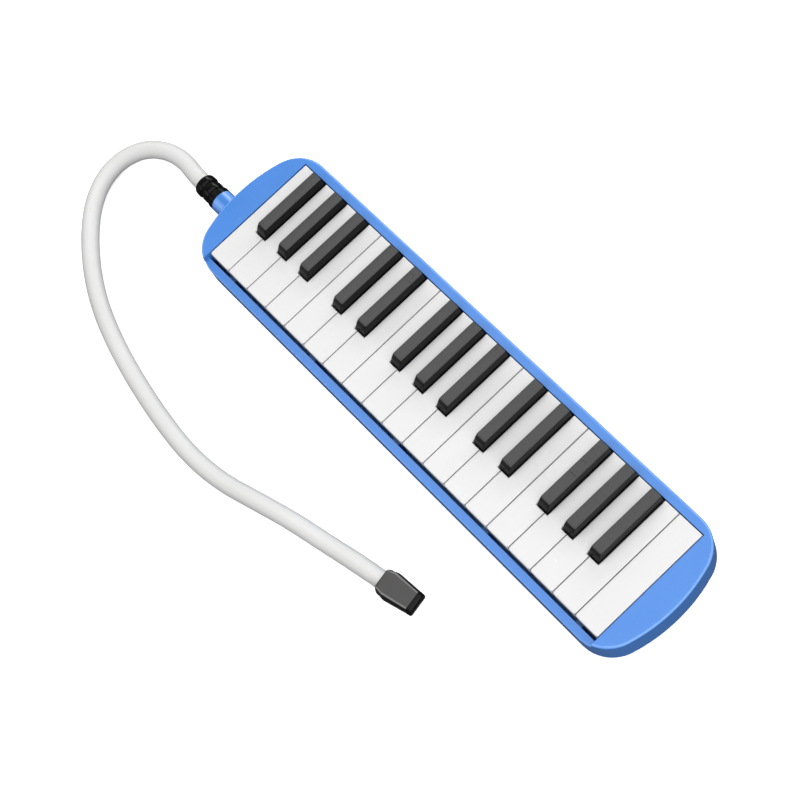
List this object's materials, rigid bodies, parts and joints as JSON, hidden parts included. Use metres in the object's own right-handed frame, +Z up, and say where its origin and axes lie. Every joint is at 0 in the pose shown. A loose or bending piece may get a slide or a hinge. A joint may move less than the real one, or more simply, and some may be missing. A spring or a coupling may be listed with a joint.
{
  "type": "melodica",
  "caption": "Wind instrument with a small piano keyboard in a round-ended blue plastic case, blown through a soft white hose with a black mouthpiece.",
  "frame": {"origin": "on the surface that the case lies on, below the middle of the case and its inlet neck", "axes": "+X along the keyboard from the low notes to the high notes, -Y towards the player, +Z up"},
  "size_m": [0.5069, 0.1971, 0.038],
  "materials": {
    "case_blue": "smooth moulded plastic with a soft gloss",
    "white_key": "polished white plastic",
    "black_key": "semi-gloss black plastic",
    "chest_plastic": "plain moulded plastic",
    "reed_brass": "rolled sheet",
    "steel": "plated steel",
    "felt": "dense pressed felt",
    "soft_rubber": "soft sealing rubber",
    "drain_black": "moulded plastic",
    "cuff_black": "glossy soft rubber",
    "hose_white": "milky soft plastic tube",
    "mouth_black": "satin moulded plastic"
  },
  "bodies": {
    "case": {"black_key_felt": "felt", "case_screws": "steel", "chest_gasket": "soft_rubber", "chest_screws": "steel", "comb_screws": "steel", "drain_spring": "steel", "inlet_neck": "case_blue", "inlet_seal": "soft_rubber", "key_bearing_rail": "chest_plastic", "key_pivot_rod": "steel", "key_spring_comb": "steel", "lower_case": "case_blue", "rail_screws": "steel", "reed_plate_high": "reed_brass", "reed_plate_low": "reed_brass", "reed_plate_screws": "steel", "reed_rivets": "reed_brass", "reeds_high": "reed_brass", "reeds_low": "reed_brass", "upper_case": "case_blue", "valve_block": "chest_plastic", "white_key_felt": "felt", "wind_chest": "chest_plastic"},
    "drain": {"drain_button": "drain_black", "drain_pad": "soft_rubber"},
    "hose": {"hose_cuff": "cuff_black", "hose_tube": "hose_white", "mouthpiece": "mouth_black"},
    "key_f3": {"key_f3": "white_key"},
    "key_fs3": {"key_fs3": "black_key"},
    "key_g3": {"key_g3": "white_key"},
    "key_gs3": {"key_gs3": "black_key"},
    "key_a3": {"key_a3": "white_key"},
    "key_as3": {"key_as3": "black_key"},
    "key_b3": {"key_b3": "white_key"},
    "key_c4": {"key_c4": "white_key"},
    "key_cs4": {"key_cs4": "black_key"},
    "key_d4": {"key_d4": "white_key"},
    "key_ds4": {"key_ds4": "black_key"},
    "key_e4": {"key_e4": "white_key"},
    "key_f4": {"key_f4": "white_key"},
    "key_fs4": {"key_fs4": "black_key"},
    "key_g4": {"key_g4": "white_key"},
    "key_gs4": {"key_gs4": "black_key"},
    "key_a4": {"key_a4": "white_key"},
    "key_as4": {"key_as4": "black_key"},
    "key_b4": {"key_b4": "white_key"},
    "key_c5": {"key_c5": "white_key"},
    "key_cs5": {"key_cs5": "black_key"},
    "key_d5": {"key_d5": "white_key"},
    "key_ds5": {"key_ds5": "black_key"},
    "key_e5": {"key_e5": "white_key"},
    "key_f5": {"key_f5": "white_key"},
    "key_fs5": {"key_fs5": "black_key"},
    "key_g5": {"key_g5": "white_key"},
    "key_gs5": {"key_gs5": "black_key"},
    "key_a5": {"key_a5": "white_key"},
    "key_as5": {"key_as5": "black_key"},
    "key_b5": {"key_b5": "white_key"},
    "key_c6": {"key_c6": "white_key"}
  },
  "joints": [
    {"name": "drain_push", "type": "slide", "parent": "case", "child": "drain", "axis": [0, 0, 1], "range_m": [0, 0.0015], "stiffness_N_per_m": 300, "springref_m": -0.001, "deforming": ["drain_spring"]},
    {"name": "hose_pull", "type": "slide", "parent": "case", "child": "hose", "axis": [-1, 0, 0], "range_m": [0, 0.012]},
    {"name": "key_f3_press", "type": "hinge", "parent": "case", "child": "key_f3", "pos_m": [0, 0.0198, 0.0245], "axis": [1, 0, 0], "range_deg": [0, 3.7], "stiffness_Nm_per_rad": 0.1, "springref_deg": -17.19, "deforming": ["key_spring_comb"]},
    {"name": "key_fs3_press", "type": "hinge", "parent": "case", "child": "key_fs3", "pos_m": [0, 0.0198, 0.0245], "axis": [1, 0, 0], "range_deg": [0, 4.8], "stiffness_Nm_per_rad": 0.1, "springref_deg": -17.19, "deforming": ["key_spring_comb"]},
    {"name": "key_g3_press", "type": "hinge", "parent": "case", "child": "key_g3", "pos_m": [0, 0.0198, 0.0245], "axis": [1, 0, 0], "range_deg": [0, 3.7], "stiffness_Nm_per_rad": 0.1, "springref_deg": -17.19, "deforming": ["key_spring_comb"]},
    {"name": "key_gs3_press", "type": "hinge", "parent": "case", "child": "key_gs3", "pos_m": [0, 0.0198, 0.0245], "axis": [1, 0, 0], "range_deg": [0, 4.8], "stiffness_Nm_per_rad": 0.1, "springref_deg": -17.19, "deforming": ["key_spring_comb"]},
    {"name": "key_a3_press", "type": "hinge", "parent": "case", "child": "key_a3", "pos_m": [0, 0.0198, 0.0245], "axis": [1, 0, 0], "range_deg": [0, 3.7], "stiffness_Nm_per_rad": 0.1, "springref_deg": -17.19, "deforming": ["key_spring_comb"]},
    {"name": "key_as3_press", "type": "hinge", "parent": "case", "child": "key_as3", "pos_m": [0, 0.0198, 0.0245], "axis": [1, 0, 0], "range_deg": [0, 4.8], "stiffness_Nm_per_rad": 0.1, "springref_deg": -17.19, "deforming": ["key_spring_comb"]},
    {"name": "key_b3_press", "type": "hinge", "parent": "case", "child": "key_b3", "pos_m": [0, 0.0198, 0.0245], "axis": [1, 0, 0], "range_deg": [0, 3.7], "stiffness_Nm_per_rad": 0.1, "springref_deg": -17.19, "deforming": ["key_spring_comb"]},
    {"name": "key_c4_press", "type": "hinge", "parent": "case", "child": "key_c4", "pos_m": [0, 0.0198, 0.0245], "axis": [1, 0, 0], "range_deg": [0, 3.7], "stiffness_Nm_per_rad": 0.1, "springref_deg": -17.19, "deforming": ["key_spring_comb"]},
    {"name": "key_cs4_press", "type": "hinge", "parent": "case", "child": "key_cs4", "pos_m": [0, 0.0198, 0.0245], "axis": [1, 0, 0], "range_deg": [0, 4.8], "stiffness_Nm_per_rad": 0.1, "springref_deg": -17.19, "deforming": ["key_spring_comb"]},
    {"name": "key_d4_press", "type": "hinge", "parent": "case", "child": "key_d4", "pos_m": [0, 0.0198, 0.0245], "axis": [1, 0, 0], "range_deg": [0, 3.7], "stiffness_Nm_per_rad": 0.1, "springref_deg": -17.19, "deforming": ["key_spring_comb"]},
    {"name": "key_ds4_press", "type": "hinge", "parent": "case", "child": "key_ds4", "pos_m": [0, 0.0198, 0.0245], "axis": [1, 0, 0], "range_deg": [0, 4.8], "stiffness_Nm_per_rad": 0.1, "springref_deg": -17.19, "deforming": ["key_spring_comb"]},
    {"name": "key_e4_press", "type": "hinge", "parent": "case", "child": "key_e4", "pos_m": [0, 0.0198, 0.0245], "axis": [1, 0, 0], "range_deg": [0, 3.7], "stiffness_Nm_per_rad": 0.1, "springref_deg": -17.19, "deforming": ["key_spring_comb"]},
    {"name": "key_f4_press", "type": "hinge", "parent": "case", "child": "key_f4", "pos_m": [0, 0.0198, 0.0245], "axis": [1, 0, 0], "range_deg": [0, 3.7], "stiffness_Nm_per_rad": 0.1, "springref_deg": -17.19, "deforming": ["key_spring_comb"]},
    {"name": "key_fs4_press", "type": "hinge", "parent": "case", "child": "key_fs4", "pos_m": [0, 0.0198, 0.0245], "axis": [1, 0, 0], "range_deg": [0, 4.8], "stiffness_Nm_per_rad": 0.1, "springref_deg": -17.19, "deforming": ["key_spring_comb"]},
    {"name": "key_g4_press", "type": "hinge", "parent": "case", "child": "key_g4", "pos_m": [0, 0.0198, 0.0245], "axis": [1, 0, 0], "range_deg": [0, 3.7], "stiffness_Nm_per_rad": 0.1, "springref_deg": -17.19, "deforming": ["key_spring_comb"]},
    {"name": "key_gs4_press", "type": "hinge", "parent": "case", "child": "key_gs4", "pos_m": [0, 0.0198, 0.0245], "axis": [1, 0, 0], "range_deg": [0, 4.8], "stiffness_Nm_per_rad": 0.1, "springref_deg": -17.19, "deforming": ["key_spring_comb"]},
    {"name": "key_a4_press", "type": "hinge", "parent": "case", "child": "key_a4", "pos_m": [0, 0.0198, 0.0245], "axis": [1, 0, 0], "range_deg": [0, 3.7], "stiffness_Nm_per_rad": 0.1, "springref_deg": -17.19, "deforming": ["key_spring_comb"]},
    {"name": "key_as4_press", "type": "hinge", "parent": "case", "child": "key_as4", "pos_m": [0, 0.0198, 0.0245], "axis": [1, 0, 0], "range_deg": [0, 4.8], "stiffness_Nm_per_rad": 0.1, "springref_deg": -17.19, "deforming": ["key_spring_comb"]},
    {"name": "key_b4_press", "type": "hinge", "parent": "case", "child": "key_b4", "pos_m": [0, 0.0198, 0.0245], "axis": [1, 0, 0], "range_deg": [0, 3.7], "stiffness_Nm_per_rad": 0.1, "springref_deg": -17.19, "deforming": ["key_spring_comb"]},
    {"name": "key_c5_press", "type": "hinge", "parent": "case", "child": "key_c5", "pos_m": [0, 0.0198, 0.0245], "axis": [1, 0, 0], "range_deg": [0, 3.7], "stiffness_Nm_per_rad": 0.1, "springref_deg": -17.19, "deforming": ["key_spring_comb"]},
    {"name": "key_cs5_press", "type": "hinge", "parent": "case", "child": "key_cs5", "pos_m": [0, 0.0198, 0.0245], "axis": [1, 0, 0], "range_deg": [0, 4.8], "stiffness_Nm_per_rad": 0.1, "springref_deg": -17.19, "deforming": ["key_spring_comb"]},
    {"name": "key_d5_press", "type": "hinge", "parent": "case", "child": "key_d5", "pos_m": [0, 0.0198, 0.0245], "axis": [1, 0, 0], "range_deg": [0, 3.7], "stiffness_Nm_per_rad": 0.1, "springref_deg": -17.19, "deforming": ["key_spring_comb"]},
    {"name": "key_ds5_press", "type": "hinge", "parent": "case", "child": "key_ds5", "pos_m": [0, 0.0198, 0.0245], "axis": [1, 0, 0], "range_deg": [0, 4.8], "stiffness_Nm_per_rad": 0.1, "springref_deg": -17.19, "deforming": ["key_spring_comb"]},
    {"name": "key_e5_press", "type": "hinge", "parent": "case", "child": "key_e5", "pos_m": [0, 0.0198, 0.0245], "axis": [1, 0, 0], "range_deg": [0, 3.7], "stiffness_Nm_per_rad": 0.1, "springref_deg": -17.19, "deforming": ["key_spring_comb"]},
    {"name": "key_f5_press", "type": "hinge", "parent": "case", "child": "key_f5", "pos_m": [0, 0.0198, 0.0245], "axis": [1, 0, 0], "range_deg": [0, 3.7], "stiffness_Nm_per_rad": 0.1, "springref_deg": -17.19, "deforming": ["key_spring_comb"]},
    {"name": "key_fs5_press", "type": "hinge", "parent": "case", "child": "key_fs5", "pos_m": [0, 0.0198, 0.0245], "axis": [1, 0, 0], "range_deg": [0, 4.8], "stiffness_Nm_per_rad": 0.1, "springref_deg": -17.19, "deforming": ["key_spring_comb"]},
    {"name": "key_g5_press", "type": "hinge", "parent": "case", "child": "key_g5", "pos_m": [0, 0.0198, 0.0245], "axis": [1, 0, 0], "range_deg": [0, 3.7], "stiffness_Nm_per_rad": 0.1, "springref_deg": -17.19, "deforming": ["key_spring_comb"]},
    {"name": "key_gs5_press", "type": "hinge", "parent": "case", "child": "key_gs5", "pos_m": [0, 0.0198, 0.0245], "axis": [1, 0, 0], "range_deg": [0, 4.8], "stiffness_Nm_per_rad": 0.1, "springref_deg": -17.19, "deforming": ["key_spring_comb"]},
    {"name": "key_a5_press", "type": "hinge", "parent": "case", "child": "key_a5", "pos_m": [0, 0.0198, 0.0245], "axis": [1, 0, 0], "range_deg": [0, 3.7], "stiffness_Nm_per_rad": 0.1, "springref_deg": -17.19, "deforming": ["key_spring_comb"]},
    {"name": "key_as5_press", "type": "hinge", "parent": "case", "child": "key_as5", "pos_m": [0, 0.0198, 0.0245], "axis": [1, 0, 0], "range_deg": [0, 4.8], "stiffness_Nm_per_rad": 0.1, "springref_deg": -17.19, "deforming": ["key_spring_comb"]},
    {"name": "key_b5_press", "type": "hinge", "parent": "case", "child": "key_b5", "pos_m": [0, 0.0198, 0.0245], "axis": [1, 0, 0], "range_deg": [0, 3.7], "stiffness_Nm_per_rad": 0.1, "springref_deg": -17.19, "deforming": ["key_spring_comb"]},
    {"name": "key_c6_press", "type": "hinge", "parent": "case", "child": "key_c6", "pos_m": [0, 0.0198, 0.0245], "axis": [1, 0, 0], "range_deg": [0, 3.7], "stiffness_Nm_per_rad": 0.1, "springref_deg": -17.19, "deforming": ["key_spring_comb"]}
  ]
}
